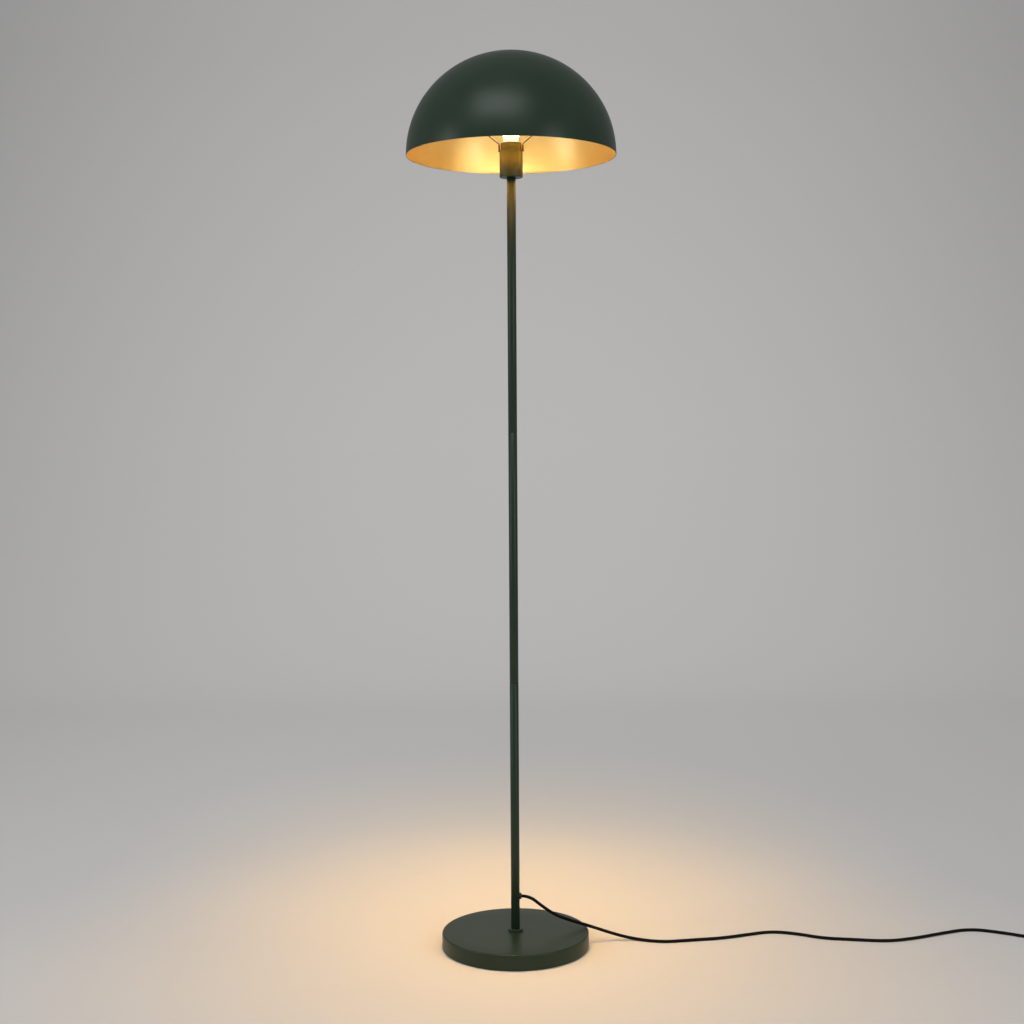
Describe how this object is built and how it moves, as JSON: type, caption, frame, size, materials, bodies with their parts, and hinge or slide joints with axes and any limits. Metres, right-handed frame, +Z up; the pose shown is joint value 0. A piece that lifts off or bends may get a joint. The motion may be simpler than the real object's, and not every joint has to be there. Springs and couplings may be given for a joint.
{
  "type": "mushroom floor lamp",
  "caption": "Slim floor lamp with a half-round spun metal shade on a wire harp, a tube pole, a round weighted base and a mains lead with a foot switch.",
  "frame": {"origin": "on the floor, on the pole's axis, under the middle of the round base", "axes": "+Z up along the pole; +X to the side where the cord leaves the pole; -Y towards the viewer of the picture"},
  "size_m": [1.3059, 0.35, 1.5082],
  "materials": {
    "green_powder_coat": "matte",
    "zinc_plated_steel": "satin",
    "brass": "satin",
    "cast_iron": "matte",
    "black_foam": "matte",
    "black_pvc": "satin",
    "black_rubber": "matte",
    "black_thermoplastic": "matte",
    "opal_glass": "matte",
    "clear_glass": "gloss",
    "nickel_plate": "polished",
    "filament_phosphor": "matte",
    "bronze_paint": "satin",
    "grey_thermoplastic": "satin",
    "black_nylon_tie": "matte"
  },
  "bodies": {
    "stand": {"base_cover": "green_powder_coat", "base_weight": "cast_iron", "base_pad": "black_foam", "base_bolt": "zinc_plated_steel", "base_washer": "zinc_plated_steel", "base_lock_washer": "zinc_plated_steel", "pole_collar": "green_powder_coat", "pole_foot_bush": "zinc_plated_steel", "pole_lower": "green_powder_coat", "pole_middle": "green_powder_coat", "pole_upper": "green_powder_coat", "lower_joint_bush": "zinc_plated_steel", "lower_joint_stud": "zinc_plated_steel", "upper_joint_bush": "zinc_plated_steel", "upper_joint_stud": "zinc_plated_steel", "pole_top_bush": "zinc_plated_steel", "cord_grommet": "black_rubber", "inner_lead": "black_pvc", "lead_cores": "black_pvc", "holder_cup": "green_powder_coat", "holder_nipple": "zinc_plated_steel", "holder_nut": "zinc_plated_steel", "holder_body": "black_thermoplastic", "holder_terminals": "brass", "holder_terminal_screws": "zinc_plated_steel", "holder_contact": "brass", "holder_shell": "brass", "holder_ring": "green_powder_coat", "harp_saddle": "bronze_paint", "harp_ferrules": "bronze_paint", "harp_wire": "bronze_paint", "harp_seat": "brass", "finial_stud": "zinc_plated_steel", "cord_lead": "black_pvc", "switch_inlet_gland": "black_rubber", "switch_outlet_gland": "black_rubber", "flex_ends": "black_pvc", "switch_base": "black_thermoplastic", "switch_cover": "black_thermoplastic", "switch_spring": "zinc_plated_steel", "switch_contact_block": "black_thermoplastic", "switch_screws": "zinc_plated_steel", "switch_feet": "black_rubber", "cord_tail": "black_pvc", "cord_coil": "black_pvc", "coil_tie": "black_nylon_tie", "cord_end": "black_pvc", "plug_body": "black_pvc", "plug_pins": "nickel_plate", "plug_gland": "black_rubber"},
    "shade": {"shade": "green_powder_coat", "shade_washer": "black_rubber"},
    "cap_nut": {"cap_nut": "green_powder_coat"},
    "bulb": {"bulb_globe": "opal_glass", "bulb_screw_cap": "nickel_plate", "bulb_insulator": "clear_glass", "bulb_contact": "nickel_plate", "bulb_stem": "clear_glass", "bulb_filaments": "filament_phosphor"},
    "switch_button": {"switch_button": "grey_thermoplastic"}
  },
  "joints": [
    {"name": "shade_lift", "type": "slide", "parent": "stand", "child": "shade", "axis": [0, 0, 1], "range_m": [0, 0.2]},
    {"name": "cap_nut_unscrew", "type": "slide", "parent": "shade", "child": "cap_nut", "axis": [0, 0, 1], "range_m": [0, 0.01]},
    {"name": "bulb_removal", "type": "slide", "parent": "stand", "child": "bulb", "axis": [0, 0, 1], "range_m": [0, 0.032]},
    {"name": "foot_switch_press", "type": "slide", "parent": "stand", "child": "switch_button", "axis": [0, 0, -1], "range_m": [0, 0.003], "stiffness_N_per_m": 900, "springref_m": -0.0015, "deforming": ["switch_spring"]}
  ]
}
